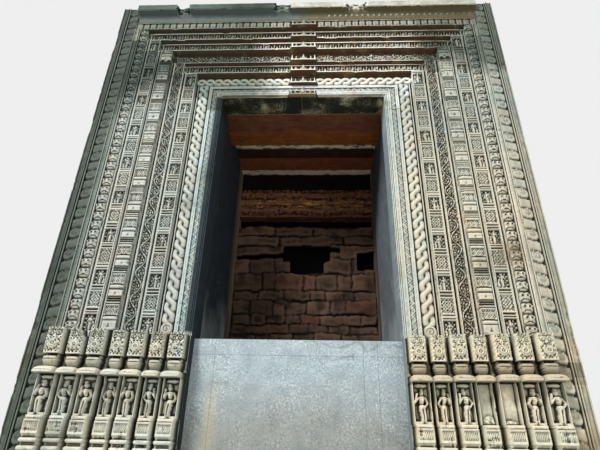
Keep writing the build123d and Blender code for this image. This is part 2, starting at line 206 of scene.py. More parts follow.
left_stone, across, up, drift = chlorite("left", (0.42, 0.43, 0.38), (0.20, 0.21, 0.18), (0.02, 0.022, 0.018),
                                         (0.12, 0.13, 0.10), 0.55)
above = past(up, over_pedestals, 20)
tint_and_shade_pedestals(left_stone, up, (1.30, 1.25, 1.18), (0.80, 0.79, 0.76), (0.96, 0.95, 0.93))
# painted shade: the left leaf border is multiplied dark
leaf_border = past(across, -3.33, -40)
left_stone.tint(leaf_border, (0.19, 0.22, 0.20))
inner_border = past(across, -1.76, 100) * above
left_stone.tint(inner_border, (0.90, 1.02, 1.10))
shade = past(up + drift - (across + 2.6) * 0.5, 5.8, 1.1) * (0.9 - leaf_border * 0.5)
left_stone.tint(shade, (0.12, 0.155, 0.135))
# painted shade on the left jamb's splay
splay = past(across, -1.592, 100) * above
left_stone.tint(splay, (0.065, 0.088, 0.105))
margin = past(across, -3.232, -100) * past(across, -3.34, 100) * above
left_stone.tint(margin, (0.36, 0.42, 0.39))
pale_reed = abs(across + 3.53).join("LESS_THAN", 0.008)
left_stone.paint(pale_reed * 0.5, (0.20, 0.24, 0.21))
# painted shade: the jamb's face towards the passage is near black
facing_passage = past(across, -1.484, 400)
left_stone.paint(facing_passage, (0.016, 0.022, 0.028))

right_stone, across, up, drift = chlorite("right", (0.52, 0.48, 0.38), (0.27, 0.26, 0.20), (0.03, 0.028, 0.02),
                                          (0.2, 0.17, 0.11), 0.57)
tint_and_shade_pedestals(right_stone, up, (1.20, 1.17, 1.11), (0.56, 0.55, 0.52), (0.78, 0.76, 0.72))
cooler_top = past(up + drift, 4.4, 0.7)
right_stone.tint(cooler_top, (0.74, 0.82, 0.88))
inner_border = past(across, 1.76, -100) * past(up, over_pedestals, 20)
right_stone.tint(inner_border, (0.93, 1.0, 1.07))
# painted shadow over the top right corner, and a lighter painted shade on the right leaf border
corner = past(up + drift + (across - 3.0) * 0.8, 6.75, 2.0) * 0.92
leaf_border = past(across, 3.33, 40) * 0.3
right_stone.tint(corner.join("MAXIMUM", leaf_border), (0.22, 0.26, 0.23))
# painted shade: the jamb's face towards the passage is a flat grey-blue, lighter than on the left
facing_passage = past(across, 1.484, -400)
right_stone.paint(facing_passage, (0.22, 0.26, 0.27))

lintel_stone, across, up, drift = chlorite("lintel", (0.60, 0.58, 0.50), (0.27, 0.27, 0.22),
                                           (0.02, 0.02, 0.014), (0.10, 0.11, 0.07), 0.55)
inner_border = past(up, 6.61, -100)
lintel_stone.tint(inner_border, (0.92, 0.97, 1.06))
both_ends = past(across - drift, -0.5, -2.2) + past(across + drift, 2.0, 2.2)
top = past(up + drift * 0.2, 7.58, 6) * 0.75
sunlit_fascia = past(up, 8.35, 40) * past(across, -0.4, 4)
shade = (both_ends + top).clamp() * 0.9 * (1 - sunlit_fascia * 0.6)
lintel_stone.tint(shade, (0.22, 0.26, 0.23))
# painted shade on the left part of the fascia
left_fascia = past(up, 8.355, 100) * past(across - drift * 0.3, -0.28, -5)
lintel_stone.tint(left_fascia, (0.36, 0.46, 0.50))
over_opening = abs(across)
splay = past(up, 6.39, -60) * past(over_opening, 1.5, -20)
lintel_stone.tint(splay * 0.85, (0.40, 0.33, 0.19))
# painted shade on the left ear of the lintel, over the left splay
left_ear = past(across, -1.478, -1000) * past(across, -1.592, 100) * past(up, 6.34, -100)
lintel_stone.tint(left_ear, (0.08, 0.105, 0.125))
# the undersides and sunk hollows of the lintels are stained brown and olive with painted shade, darker on the
# left
facing = lintel_stone.node("ShaderNodeSeparateXYZ", {}, {
    "Vector": lintel_stone.node("ShaderNodeNewGeometry", {}, {}, "Normal")}, "Z")
under = (past(facing, -0.8, -8) + lintel_stone.marked("brown") * 0.95).clamp()
patch = lintel_stone.noise(3.1, 4.0, 0.7)
earth_and_shade = lintel_stone.mix(past(patch, 0.45, 6), (0.085, 0.036, 0.017), (0.06, 0.055, 0.028))
earth_and_shade = lintel_stone.mix(past(patch, 0.56, 9) * 0.8, earth_and_shade, (0.30, 0.13, 0.045))
earth_and_shade = lintel_stone.mix(past(across, -0.5, -0.7) * 0.8, earth_and_shade, (0.050, 0.048, 0.030))
olive = lintel_stone.mix(past(across, -0.3, 2), (0.062, 0.082, 0.076), (0.085, 0.065, 0.024))
lintel_stone.paint(under, lintel_stone.mix(past(up, 8.15, 40), earth_and_shade, olive))
# the soffit over the opening is painted near black as shade, with pale lichen, an earthy crack and earthy edges
lichen = lintel_stone.noise(55.0, 8.0, 0.9)
cluster = (lintel_stone.noise(1.9, 3.0) - 0.55) * 1.6
pale_lichen = lintel_stone.mix(past(patch, 0.5, 8), (0.52, 0.52, 0.34), (0.36, 0.25, 0.08))
lichened = past(lichen + cluster * 0.4, 0.515, 20) * 0.9
underside = lintel_stone.mix(lichened, (0.012, 0.014, 0.007), pale_lichen)
ragged = (lichen - 0.5) * 0.1
crack = abs(across + 0.02 + ragged).join("LESS_THAN", 0.0045) * 0.6
earthy_edges = past(abs(lintel_stone.place("Y") - 0.25) + ragged, 0.226, 60)
underside = lintel_stone.mix(crack.join("MAXIMUM", earthy_edges) * 0.8, underside, (0.30, 0.19, 0.07))
lintel_stone.paint(past(up, 6.345, -200) * under * past(over_opening, 1.5, -100), underside)
chlorites = {"left": left_stone.material, "right": right_stone.material, "lintel": lintel_stone.material}


# Carved frames: eight frames of chlorite posts and lintels, one inside the other, each standing forward of the
# one inside it. A carved face is a height map over its own outline, closed by side walls, ends and a back.
# Sizes are in millimetres: x across the doorway, y into the wall, z up.
half_opening = 1480
pedestal_top = 1936
lintel_bed = 6330
ear_drop = 300
frame_back = 500
bands = {}
start = half_opening
for name, width, front in (("inner_border", 280, 0), ("serpent_rope", 247, -10), ("inner_panel_band", 268, -70),
                           ("vine_scroll_band", 249, -70), ("pilaster_band", 274, -150),
                           ("outer_panel_band", 263, -170), ("dwarf_band", 283, -215),
                           ("leaf_border", 315, -230)):
    bands[name] = (start, width, front)
    start += width


def soften(field, reach):
    """A box blur of a height map."""
    for axis in (0, 1):
        margins = [(0, 0), (0, 0)]
        margins[axis] = (reach, reach)
        padded = np.pad(field, margins, mode="edge")
        span = field.shape[axis]
        shifted = [np.take(padded, range(k, k + span), axis=axis) for k in range(2 * reach + 1)]
        field = sum(shifted) / len(shifted)
    return field


def solid_from_face(name, x, y, z, back, material, node, flip=False, brown=0):
    """A closed mesh with a carved front, riding on the body in place of its CAD node."""
    rows, columns = x.shape
    front = np.stack([x, y, z], -1).reshape(-1, 3)
    edges = [np.stack([x[:, k], np.full(rows, float(back)), z[:, k]], -1) for k in (0, -1)]
    points = np.concatenate([front] + edges) / 1000
    grid = np.arange(rows * columns).reshape(rows, columns)
    first = rows * columns + np.arange(rows)
    last = first + rows
    quads = np.concatenate([
        np.stack([grid[:-1, :-1], grid[:-1, 1:], grid[1:, 1:], grid[1:, :-1]], -1).reshape(-1, 4),
        np.stack([grid[:-1, 0], grid[1:, 0], first[1:], first[:-1]], -1),
        np.stack([grid[:-1, -1], last[:-1], last[1:], grid[1:, -1]], -1),
        np.stack([first[:-1], first[1:], last[1:], last[:-1]], -1)])
    ends = [np.concatenate([[first[0], last[0]], grid[0, ::-1]]),
            np.concatenate([grid[-1], [last[-1], first[-1]]])]
    step = -1 if flip else 1
    faces = quads[:, ::step].tolist() + [end[::step].tolist() for end in ends]
    mesh = bpy.data.meshes.new(name)
    mesh.from_pydata(points.tolist(), [], faces)
    darkest_cut = 16
    # how far each point lies below its neighbours: the finishes paint grime and shade into the hollows and a
    # highlight onto the ridges from it
    hollow = np.clip((y - soften(y, 3)) / darkest_cut, -0.5, 1)
    for label, values in (("hollow", hollow), ("brown", brown + 0 * y)):
        values = np.concatenate([values.reshape(-1), np.zeros(2 * rows)]).astype(np.float32)
        mesh.attributes.new(label, "FLOAT", "POINT").data.foreach_set("value", values)
    mesh.polygons.foreach_set("use_smooth", [True] * len(mesh.polygons))
    mesh.set_sharp_from_angle(angle=0.9)
    mesh.materials.append(material)
    piece = bpy.data.objects.new(name, mesh)
    scene.collection.objects.link(piece)
    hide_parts(node)
    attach(piece, "root")


def lines_across(levels):
    """Where the mesh lines run across a strip, how deep each lies, and the number of its level."""
    line_spacing = 9.5
    half_riser = 0.5
    rounding = 4
    places, depths, owners = [], [], []
    at = 0
    for number, (width, depth) in enumerate(levels):
        count = 3 if width < 40 else round(width / line_spacing) + 1
        places += list(np.linspace(at + half_riser, at + width - half_riser, count))
        rounded = rounding if width < 20 and depth < 20 else 0
        depths += [depth + rounded] + [depth] * (count - 2) + [depth + rounded]
        owners += [number] * count
        at += width
    places[0], places[-1] = 0, at
    return np.array(places), np.array(depths, float), np.array(owners)


def worn_by_age(depth, seed):
    """Adds a little unevenness and some chipped edges to the depths of a carved face."""
    chance = np.random.default_rng(seed)
    uneven = soften(chance.normal(size=depth.shape), 2)
    chipped = np.clip(soften(chance.normal(size=depth.shape), 7) * 6 - 0.7, 0, 1)
    return depth + uneven * 4 + chipped * np.clip(38 - depth, 0, 30) * 0.7


def strips(name, levels, carve, lintel_carve=None, field=0, relief=45, splay=0, foot=pedestal_top, head=None,
           step=12):
    """Both upright strips of a frame, and its lintel with two ears, carved by height functions.

    The levels run outwards from the opening, each with its width and depth, and the field is the carved one.
    """
    start, _, front = bands[name]
    lintel_foot = lintel_bed + start - half_opening
    head = head or lintel_foot - ear_drop
    across, depths, owners = lines_across(levels)
    inside = owners == field
    left_edge = sum(width for width, depth in levels[:field])
    field_width = levels[field][0]
    along = np.linspace(0, head - foot, round((head - foot) / step) + 1)
    v, u = np.meshgrid(along, across, indexing="ij")
    if splay:
        depths = depths + np.clip(1 - across / left_edge, 0, 1) * splay
    depth = np.broadcast_to(depths, u.shape).copy()
    depth[:, inside] -= relief * carve(u[:, inside] - left_edge, v[:, inside], field_width, head - foot)
    for number, side in ((1, "right"), (-1, "left")):
        y = front + worn_by_age(depth, start * 3 + number)
        solid_from_face(f"{side}_{name}_carved", number * (start + u), y, foot + v, frame_back, chlorites[side],
                        f"{side}_{name}", flip=number < 0)
    if lintel_carve is None:
        return
    # the lintel's mesh runs up one ear, along over the opening and down the other ear
    ear = np.linspace(0, 1, 27)
    over = np.linspace(-1, 1, round(2 * start / 12) + 1)[1:-1]
    half = start + across[None, :]
    rise = lintel_foot - ear_drop + ear[:, None] * (ear_drop + across[None, :])
    x = np.concatenate([-half + 0 * rise, over[:, None] * half, (half + 0 * rise)[::-1]])
    z = np.concatenate([rise, lintel_foot + across[None, :] + 0 * over[:, None], rise[::-1]])
    u = np.broadcast_to(across, x.shape)
    depth = np.broadcast_to(depths, x.shape).copy()
    flat = np.zeros(x.shape[0], bool)
    flat[len(ear):-len(ear)] = True
    brown = np.zeros(x.shape)
    # most lintels have a lower row of figures and a plain hollow over it, stained brown and painted with shade
    row_width = field_width
    row = inside
    hollow_depth = 45
    if field == 0:
        row_width = 176
        row = across <= row_width
        depth[np.ix_(flat, ~row & (depths < 50))] = hollow_depth
        brown[np.ix_(flat, across > row_width + 3)] = 1
    cells = np.ix_(flat, row)
    carved = lintel_carve(u[cells] - left_edge, x[cells] + start, row_width, 2 * start)
    depth[cells] = depths[inside][0] - relief * carved
    cells = np.ix_(~flat, inside)
    depth[cells] -= relief * carve(u[cells] - left_edge, z[cells] - foot, field_width, head - foot)
    if field == 0:
        over_jamb = (z > lintel_foot + 1) & ~flat[:, None]
        ahead = hollow_depth - relief * lintel_carve(z - lintel_foot, x + start, row_width, 2 * start)
        depth = np.where(over_jamb, np.where(z - lintel_foot > row_width, hollow_depth, ahead), depth)
        brown = np.where(over_jamb, z - lintel_foot > row_width + 3, brown)
    y = front + worn_by_age(depth, start * 3 + 2)
    shrine_half, shrine_top = 240, 150
    shape = shrine(x, u, shrine_top)
    inside_shrine = (np.abs(x) < shrine_half) & (u < shrine_top) & (z > lintel_foot - 1)
    y = np.where(inside_shrine, front - shape, y)
    shrine_brown = np.where(u < 3, 0, np.where(shape > -30, -1, 0.4))
    solid_from_face(f"lintel_{name}_carved", x, y, z, frame_back, chlorites["lintel"],
                    f"lintel_{name}", True, np.where(inside_shrine, shrine_brown, brown))


# Figures: generic standing and seated figures, cut in the chlorite of the panels, the rows on the lintels and
# the niches, each of a few rounded bosses and limbs. The shrine in the middle of each lintel holds three.
def ball(x, y, across, up, half, tall):
    """A rounded boss in a height map, from 0 at its rim to 1."""
    return np.sqrt(np.clip(1 - ((x - across) / half) ** 2 - ((y - up) / tall) ** 2, 0, None))


def limb(x, y, start, end, thick):
    """A rounded limb between two points of a figure that is three times as tall as half its width."""
    run = np.array([end[0] - start[0], 3 * (end[1] - start[1])])
    across = x - start[0]
    up = 3 * (y - start[1])
    share = np.clip((across * run[0] + up * run[1]) / (run @ run), 0, 1)
    away = np.hypot(across - share * run[0], up - share * run[1])
    return np.sqrt(np.clip(1 - (away / thick) ** 2, 0, None))


def standing(x, y):
    """A standing figure, one hand raised and one at its hip: x from -1 to 1, y from 0 to 1 over its head."""
    wide = np.abs(x)
    head = [ball(x, y, 0.05, 0.86, 0.25, 0.1), ball(x, y, 0.09, 0.955, 0.17, 0.06)]
    trunk = [ball(x, y, 0, 0.715, 0.44, 0.07), ball(x, y, 0, 0.62, 0.3, 0.12),
             1.1 * ball(wide, y, 0.17, 0.655, 0.14, 0.045), ball(x, y, -0.03, 0.44, 0.42, 0.1)]
    legs = [0.92 * limb(wide, y, (0.19, 0.42), (0.15, 0.05), 0.21)]
    raised_arm = [0.85 * limb(x, y, (0.42, 0.71), (0.8, 0.58), 0.13),
                  0.85 * limb(x, y, (0.8, 0.58), (0.56, 0.84), 0.12)]
    lower_arm = [0.85 * limb(x, y, (-0.42, 0.71), (-0.72, 0.56), 0.13),
                 0.85 * limb(x, y, (-0.72, 0.56), (-0.36, 0.45), 0.12)]
    return np.maximum.reduce(head + trunk + legs + raised_arm + lower_arm)


def seated(x, y):
    """A seated figure with crossed legs."""
    parts = [ball(x, y, 0, 0.82, 0.25, 0.18), ball(x, y, 0, 0.5, 0.42, 0.26), ball(x, y, 0, 0.15, 0.9, 0.18),
             0.8 * ball(x, y, -0.55, 0.42, 0.16, 0.2), 0.8 * ball(x, y, 0.55, 0.42, 0.16, 0.2)]
    return np.maximum.reduce(parts)


def shrine(x, u, top):
    """How far a lintel's middle shrine stands before its front: a sill, two posts and three seated figures."""
    sill = 26
    tall = top - 30
    middle = seated(x / 92, (u - sill) / tall)
    aside = seated((np.abs(x) - 138) / 50, (u - sill) / (tall * 0.85))
    out = -45 + 112 * np.maximum(middle, 0.88 * aside)
    post = np.abs(np.abs(x) - 214) < 24 - u / 7
    out = np.where(post, 55, out)
    return np.where(u < sill, 62 - 0.02 * np.abs(x), out)


# The inner border frames the opening in pale chlorite: a splay that falls back towards the opening, with two
# fine arris reeds, and a narrow sunk strip of scroll and beads.
def scroll(u, v, width, length):
    wave, sway, stem_half = 120, 30, 10
    swing = np.sin(v * 2 * np.pi / wave)
    stem = 1 - np.clip(np.abs(u - width / 2 - sway * swing) / stem_half, 0, 1) ** 2
    bead = 0.9 * (np.cos(u * 2 * np.pi / 46) * np.cos(v * 2 * np.pi / 44) > 0.3)
    return 1.5 * np.maximum(stem, bead) - 0.6


inner_levels = [(16, 0), (8, 12), (16, 0), (8, 12), (64, 0), (90, 18), (56, 0), (22, 75)]
strips("inner_border", inner_levels, scroll, scroll, field=5, relief=9, splay=28)


# The serpent rope: two serpents wound round each other in full slanting lobes, with a hooded coil at the
# foot of each jamb. Like the four bands after it, it has a deep groove between two reeds on its outer side.
reeds = [(14, 0), (34, 75), (14, 0)]


def rope(u, v, width, length):
    wave = length / round(length / 325)
    turn = v * 2 * np.pi / wave
    sway = 0.27 * width
    strand_half = 0.262 * width
    height = 0 * u
    for side in (1, -1):
        slope = side * sway * 2 * np.pi / wave * np.cos(turn)
        off = (u - width / 2 - side * sway * np.sin(turn)) / np.sqrt(1 + slope ** 2)
        tube = np.sqrt(np.clip(1 - (off / strand_half) ** 2, 0, None))
        height = np.maximum(height, tube * (0.98 + 0.24 * side * np.cos(turn)))
    coil_radius = 88
    away = np.hypot(u - width / 2, v - coil_radius)
    turned = away / 6.5 - np.arctan2(v - coil_radius, u - width / 2)
    coil = 1.08 - 0.3 * (0.5 + 0.5 * np.cos(turned))
    eyes = np.maximum(ball(u, v, width / 2 - 24, 148, 15, 15), ball(u, v, width / 2 + 24, 148, 15, 15))
    hood = np.maximum(coil, 0.8 + 0.4 * eyes)
    return np.where(away < coil_radius, hood, height - 0.2)


def lintel_rope(u, v, width, length):
    past_the_coil = 400
    return rope(u, np.abs(v - length / 2) + past_the_coil, width, length)


strips("serpent_rope", [(185, 45)] + reeds, rope, lintel_rope)


# The panel bands: a deep group of figures, then a flat panel of fine lattice, parted by double slots. Their
# lintels hold rows of small figures in compartments.
def panels(u, v, width, length):
    pitch = length / round(length / 338)
    number = np.floor(v / pitch)
    up = v - number * pitch
    tall = pitch - 84
    frame_width = 14
    slots = 1.0 - 1.1 * (np.abs(np.abs(up - tall - 42) - 22) < 9)
    chance = np.sin(number * 12.9) * 43.7 % 1
    x = (u - width / 2) / (width / 2)
    shift = 0.16 * (chance - 0.5)
    main = standing((x - shift) / 0.46, (up - 22) / (tall - 44))
    bent = limb((x - shift) * np.sign(chance - 0.5), up / tall, (0, 0.6), (0.55, 0.74), 0.1)
    aside = seated((x + 0.55 - 1.1 * (chance > 0.5)) / 0.3, (up - 22) / (tall * 0.5))
    curls = 0.55 * (np.cos(u / 9 + chance * 6) * np.cos(up / 10 + chance * 9) > 0.45)
    height = np.maximum.reduce([main, bent, 0.8 * aside, curls]) - 0.1
    edge = (np.abs(x) > 0.88) | (up < frame_width) | (up > tall - frame_width)
    height = np.where(edge, 1.0, height)
    ring = np.cos(np.hypot(u - width / 2, (up - tall / 2) * 0.9) / 7.0)
    lattice = 0.62 + 0.24 * ring * np.cos(np.arctan2(up - tall / 2, u - width / 2) * 4)
    lattice = lattice - 0.42 * (np.sin(u * np.pi / 22) * np.sin(up * np.pi / 24) > 0.45)
    edge = (np.abs(x) > 0.86) | (up < frame_width) | (up > tall - frame_width)
    lattice = np.where(edge, 1.0, lattice)
    height = np.where(number % 2 == 0, height, lattice)
    return np.where(up > tall, np.where(np.abs(x) > 0.86, 1.0, slots), height)


def frieze(u, v, width, length):
    pitch = length / round(length / 104)
    fillet = 24
    number = np.floor(v / pitch)
    x = (v / pitch - number - 0.5) * 2
    chance = np.sin(number * 7.31) * 91.7 % 1
    tall = 0.78 + 0.16 * chance
    body = standing(x / 0.72, u / width / tall)
    low_body = seated(x / 0.72, u / width / (tall * 0.9))
    height = 1.1 * np.where(chance > 0.45, body, low_body) - 0.4
    post = np.abs(x) > 0.86
    height = np.where(post, 0.6 - 0.12 * np.cos(u / 8), height)
    return np.where((u < fillet) | (u > width - fillet), 1.05, height)


strips("inner_panel_band", [(206, 45)] + reeds, panels, frieze)
strips("outer_panel_band", [(201, 45)] + reeds, panels, frieze)


# The vine scroll: a winding stem, deeply undercut, with a curled spray of leaves in each bend, cut into the
# chlorite between two plain fillets.
def vine(u, v, width, length):
    wave = length / round(length / 420)
    sway = width / 2 - 34
    turn = v * 2 * np.pi / wave
    slope = np.sqrt(1 + (sway * 2 * np.pi / wave * np.cos(turn)) ** 2)
    off = np.abs(u - width / 2 - sway * np.sin(turn)) / slope
    bend = np.floor(v / (wave / 2))
    side = np.where(bend % 2 == 0, -1, 1)
    height = 0.9 * (np.cos(u / 6.5 + v / 17) * np.cos(v / 7.5 - u / 19) > 0.3)
    for reach, along, size in ((0.5, 0, 70), (0.95, 0.25, 40), (0.95, -0.25, 40)):
        x = u - width / 2 - side * sway * reach
        y = v - (bend + 0.5) * wave / 2 - along * wave
        away = np.hypot(x, y)
        curl = np.cos(away * 2 * np.pi / 34 - np.arctan2(y, x * side)) > -0.15
        petals = np.cos(np.arctan2(y, x) * 5 + away / 16) > -0.72
        height = np.where(away < size, 1.0 * (curl & petals), height)
    stem_half, undercut_half, fillet = 9, 18, 13
    height = np.where(off < undercut_half, 0, height)
    height = np.where(off < stem_half, 0.95, height) - 0.3
    return np.where((u < fillet) | (u > width - fillet), 1.0, height)


strips("vine_scroll_band", [(187, 45)] + reeds, vine, vine)


# The pilaster band: smooth blocks with a small lotus, swelling cushions and carved panels over each other,
# turned and cut from one strip of chlorite.
def pilaster(u, v, width, length):
    pitch = length / round(length / 478)
    up = v % pitch
    share = up / pitch
    x = (u - width / 2) / (width / 2)
    block = 1.0 - 0.22 * np.abs(x) ** 4
    lotus = (np.abs(x) < 0.26 - (share - 0.14) * 2.2) & (share > 0.14)
    height = np.where(lotus, 0.76, block)
    cushion = 0.42
    swell = np.sqrt(np.clip(1 - ((share - cushion) / 0.075) ** 2, 0, None))
    round_cushion = 0.1 + 1.0 * swell * (1 - 0.3 * np.abs(x) ** 6)
    height = np.where(np.abs(share - cushion) < 0.085, round_cushion, height)
    panel = (share > 0.52) & (share < 0.8)
    mesh = 0.66 - 0.34 * (np.sin(u * np.pi / 17) * np.sin(up * np.pi / 21) > 0.3)
    height = np.where(panel, np.where(np.abs(x) > 0.84, 0.95, mesh), height)
    slots = 0.95 - 1.05 * (np.abs((up / 39) % 1 - 0.5) < 0.26)
    height = np.where((share < 0.12) | (share > 0.86), slots, height)
    height = np.where(np.abs(share - 0.51 + 0.02 * x ** 2) < 0.013, 0.0, height)
    return np.where(np.abs(x) > 0.92, 0.6, height)


strips("pilaster_band", [(212, 45)] + reeds, pilaster, frieze)


# The dwarf band: crouching dwarfs piled up as full cushions with deep undercuts, beside a plain strip, and a
# course of leaves over the opening.
def dwarfs(u, v, width, length):
    pitch = length / round(length / 158)
    up = v % pitch
    x = np.abs(u - width / 2)
    body = np.sqrt(np.clip(1 - np.abs((u - width / 2) / 80) ** 3 - np.abs((up - 76) / 74) ** 3, 0, None))
    height = 0.85 * body
    eye = np.hypot(x - 36, up - 100)
    height = np.where(eye < 30, 1.1, height)
    height = np.where(eye < 15, 0.35, height)
    mouth = (np.abs(up - 46 + (x / 40) ** 2 * 12) < 8) & (x < 56)
    height = np.where(mouth, height - 0.45, height)
    brow = (np.abs(up - 138 + x * 0.35) < 7) & (x < 62)
    return np.where(brow, height - 0.3, height) - 0.15


def leaf_course(u, v, width, length):
    fillet = 14
    pitch = length / round(length / 134)
    x = (v / pitch) % 1 * 2 - 1
    lobe = np.clip(1 - np.abs(x) ** 4 - np.abs(u / width * 2 - 0.9) ** 4, 0, None) ** 0.5
    curl = 0.16 * np.cos(np.hypot(x * 66, (u - width / 2)) / 6)
    leaves = np.clip(-0.25 + 1.1 * lobe + curl * lobe, -0.25, 1)
    return np.where((u < fillet) | (u > width - fillet), 0.95, leaves)


dwarf_levels = [(166, 45), (15, 0), (22, 37), (65, 16), (15, 0)]
strips("dwarf_band", dwarf_levels, dwarfs, leaf_course)


# The outer border: a tall strip of curled leaves with drilled eyes, with two plain reeds beside it. It has no
# pedestal and no lintel, and runs from the ground past the cornice.
frame_top = 8509


def curled_leaves(u, v, width, length):
    pitch = length / round(length / 354)
    up = (v + 0.25 * u) % pitch
    block = np.clip(1 - np.abs((up - 0.25 * pitch) / (0.23 * pitch)) ** 3, 0, None) ** 0.5
    x = u - width * 0.45
    y = up - 0.76 * pitch
    away = np.hypot(x * 0.85, y)
    curl = 0.74 + 0.2 * np.cos(away / 12 - np.arctan2(y, x))
    curl_radius, eye_radius = 84, 17
    height = np.maximum(0.9 * block, np.where(away < curl_radius, curl, 0.04))
    eye = np.hypot(u - width * 0.86, up - 0.5 * pitch) < eye_radius
    height = height * np.clip((width - u) / 22, 0, 1) ** 0.5 * np.clip(u / 14, 0, 1) ** 0.5
    return np.where(eye, -0.2, 0.12 + 0.42 * height)


border_levels = [(178, 45), (15, 0), (22, 37), (15, 0), (70, 16), (15, 0)]
strips("leaf_border", border_levels, curled_leaves, foot=0, head=frame_top, step=21)


# Pedestals: under each frame a moulded base, a niche with a standing figure, an eave, a bowl and a block of
# foliage, cut from one stone. Two on the right have lost their figures, and one on the left has a broken top
# corner. A course has its foot and top, how far it stands out and is set in at each, and its roundness or form.
courses = [
    (0, 315, 200, 200, 22, 22, 0), (315, 450, 198, 165, 22, 30, 0), (450.5, 505, 190, 190, 22, 22, 22),
    (505.5, 545, 140, 140, 34, 34, 0), (545.5, 592, 188, 188, 22, 22, 20), (592.5, 640, 140, 182, 40, 26, 0),
    (640, 800, 192, 192, 30, 30, 0), (800.5, 846, 176, 180, 30, 26, 8), (1343.5, 1432, 306, 138, 8, 76, "eave"),
    (1432.5, 1560, 84, 186, 90, 50, "bowl"), (1560.5, 1598, 105, 105, 58, 58, 0),
    (1598.5, 1936, 190, 190, 32, 32, 0),
]
niche_foot, niche_top = 846.5, 1343
extra_rows = [niche_foot, niche_top, 1368, 1376, 1424, 1518, 1526, 1534]


def moulded_courses(u, off, z, half):
    """How far the courses stand out, with a row of leaves on the base and a groove on the eave and the bowl."""
    out = np.full(z.shape, -40.0)
    for foot, top, low_out, high_out, low_inset, high_inset, form in courses:
        level = np.clip((z - foot) / (top - foot), 0, 1)
        low_half, high_half = half - low_inset, half - high_inset
        if form == "eave":
            curve = np.sqrt(np.clip(1 - np.clip(level - 0.15, 0, 1) ** 2 * 1.36, 0, 1))
            reach = high_out + (low_out - high_out) * curve
            side_reach = high_half + (low_half - high_half) * curve
        elif form == "bowl":
            swell = np.sqrt(np.clip(1 - (1.5 * level - 1.04) ** 2, 0, 1))
            reach = low_out + (high_out - low_out) * swell
            side_reach = low_half + (high_half - low_half) * swell
        else:
            reach = low_out + (high_out - low_out) * level - form * (2 * level - 1) ** 4
            side_reach = low_half + (high_half - low_half) * level - form * 0.5 * (2 * level - 1) ** 4
        squareness = 4 if form in ("eave", "bowl") else 14
        rounding = 1 - 0.16 * np.clip(off / side_reach, 0, 1) ** squareness
        backing = 0.0 if foot > niche_foot else -10.0
        standing_out = np.where(off < side_reach, reach * rounding, backing)
        out = np.where((z >= foot) & (z <= top), standing_out, out)
    leaf_foot, leaf_top = 662, 778
    box = (z > leaf_foot) & (z < leaf_top) & (off < half - 44)
    rows_of_leaf = 7 * np.cos(u * 2 * np.pi / 26) * np.cos((z - leaf_foot) * 2 * np.pi / 58)
    out = np.where(box, out - 12 + rows_of_leaf, out)
    lip = (z > 1343) & (z < 1385) & (off < half - 20)
    out = np.where(lip & (np.abs(z - 1372) < 5), out - 9, out)
    rim = (np.abs(z - 1526) < 5) & (off < half - 50)
    return np.where(rim, out - 14, out)


def niche_figure(number, side, u, x, z):
    """The standing figure in a niche, or the stump that is left of it."""
    if side == "right" and number in (4, 5):
        stump_across, stump_tall = (0.1, 96) if number == 4 else (-0.2, 40)
        stump = ball(x, z, stump_across, 862, 0.62, stump_tall)
        return 52 * stump * (0.7 + 0.3 * np.cos(u / 11 + z / 19) * np.cos(z / 14)) + 4 * np.cos(z / 40)
    hand = 1 if side == "right" else -1
    lean = 0.07 * np.sin((z - 862) / 70 + number * 1.7) * np.clip((z - 862) / 100, 0, 1)
    body = (x - lean) / 0.74 * hand * (-1 if number % 2 else 1)
    up = (z - 868) / 398
    figure = 110 * standing(body, up)
    girdle = np.abs(up - 0.36 - 0.1 * np.cos(body * 4)) < 0.02
    figure = np.where(girdle, figure - 14, figure)
    figure = np.maximum(figure, 60 * ball(x, z, 0, 1306, 0.6, 26))
    return np.maximum(figure, 78 * (z < 874) * (np.abs(x) < 0.7))


def foliage(number, side, u, off, z, half):
    """The foliage block's ornament: drilled leaves round a medallion of rings, and two spirals at the top."""
    middle = 1722
    ring_radius, foliage_radius = 66, 74
    away = np.hypot(u - half, z - middle)
    turn = np.arctan2(z - middle, u - half)
    rings = 12 + 9 * np.cos(away / 5.4)
    leaves = 8 * np.cos(turn * 9 + away / 9) * np.cos(away / 7.5) - 3
    curled = np.hypot(off - 46, z - 1862)
    spiral = np.cos(curled * 2 * np.pi / 26 - np.arctan2(z - 1862, off - 46)) < -0.1
    drill_depth = 30 if side == "left" else 13
    holes = np.sin(u / 7.3 + number) * np.sin(z / 7.9) > 0.36
    drilled = drill_depth * np.where(curled < 52, spiral, holes)
    return np.where(away < ring_radius, rings, leaves - drilled * (away > foliage_radius))


